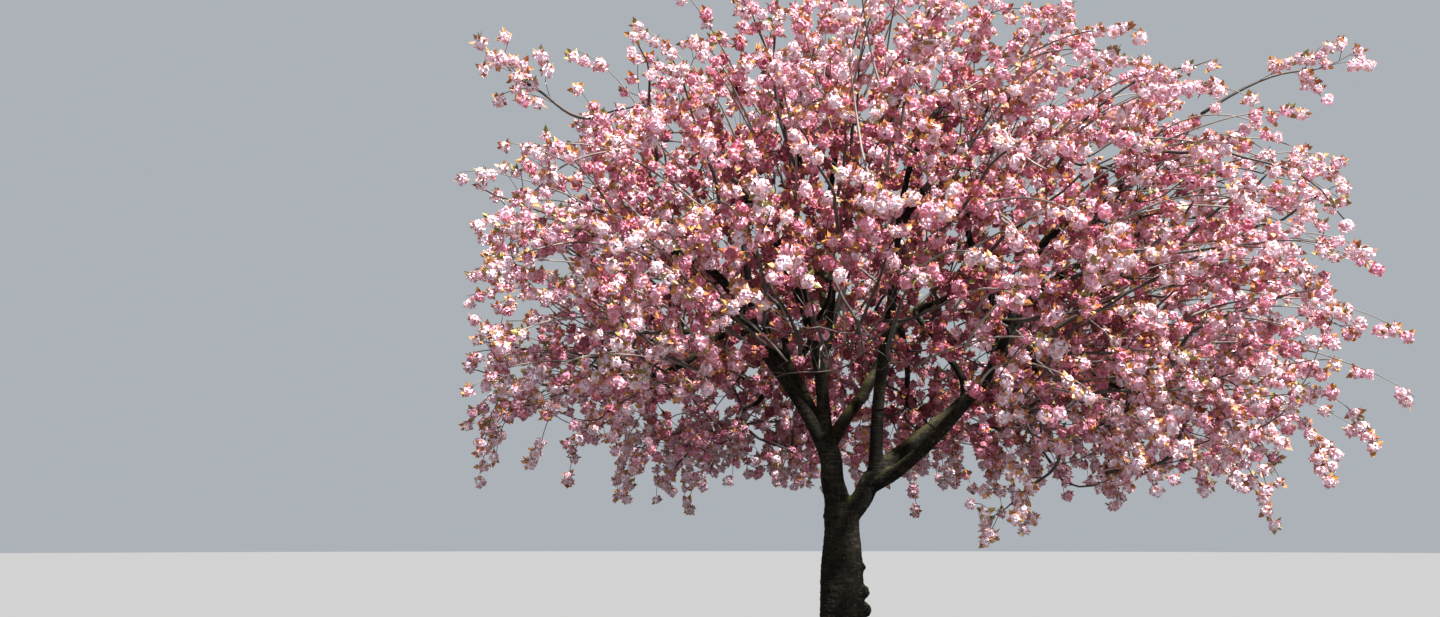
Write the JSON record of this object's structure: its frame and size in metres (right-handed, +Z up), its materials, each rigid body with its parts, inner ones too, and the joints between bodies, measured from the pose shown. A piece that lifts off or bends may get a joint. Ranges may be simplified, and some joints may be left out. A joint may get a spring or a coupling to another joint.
{
  "type": "flowering cherry tree",
  "caption": "Spreading double-flowered cherry tree in full blossom, with a short trunk that forks into arching limbs under a wide dome of pink flower sprays.",
  "frame": {"origin": "middle of the flat cut under the trunk, at ground level", "axes": "+Z up, +Y away from the viewer of the picture, +X to the viewer's right, the side of the thicker right-hand stem and of the widest reach"},
  "size_m": [10.0398, 8.8967, 8.1179],
  "materials": {
    "bark": "rough dark grey-brown bark with bands of pores, and olive moss on the upper sides",
    "twig": "thin grey-brown bark",
    "blossom": "soft matt petals, from near white to deep pink",
    "young_leaf": "thin satin leaves, bronze and olive"
  },
  "bodies": {
    "root": {"trunk": "bark", "stem_left": "bark", "stem_right": "bark", "limb_left": "bark", "limb_back_left": "bark", "limb_back": "bark", "limb_back_right": "bark", "limb_right": "bark", "limb_low_right": "bark", "limb_front_right": "bark", "limb_front_left": "bark", "bough_skirt_1": "bark", "bough_skirt_2": "bark", "bough_skirt_3": "bark", "bough_skirt_4": "bark", "bough_skirt_5": "bark", "bough_skirt_6": "bark", "bough_skirt_7": "bark", "bough_skirt_8": "bark", "bough_upper_1": "bark", "bough_upper_2": "bark", "bough_upper_3": "bark", "bough_upper_4": "bark", "bough_upper_5": "bark", "bough_upper_6": "bark", "bough_heart_1": "bark", "bough_heart_2": "bark", "bough_heart_3": "bark", "bough_top_1": "bark", "blossom_shoulder_left": "blossom", "blossom_shoulder_back_left": "blossom", "blossom_shoulder_back": "blossom", "blossom_shoulder_back_right": "blossom", "blossom_shoulder_right": "blossom", "blossom_shoulder_low_right": "blossom", "blossom_shoulder_front_right": "blossom", "blossom_shoulder_front_left": "blossom", "blossom_skirt_1": "blossom", "blossom_skirt_2": "blossom", "blossom_skirt_3": "blossom", "blossom_skirt_4": "blossom", "blossom_skirt_5": "blossom", "blossom_skirt_6": "blossom", "blossom_skirt_7": "blossom", "blossom_skirt_8": "blossom", "blossom_upper_1": "blossom", "blossom_upper_2": "blossom", "blossom_upper_3": "blossom", "blossom_upper_4": "blossom", "blossom_upper_5": "blossom", "blossom_upper_6": "blossom", "blossom_heart_1": "blossom", "blossom_heart_2": "blossom", "blossom_heart_3": "blossom", "blossom_top_1": "blossom"}
  },
  "joints": []
}
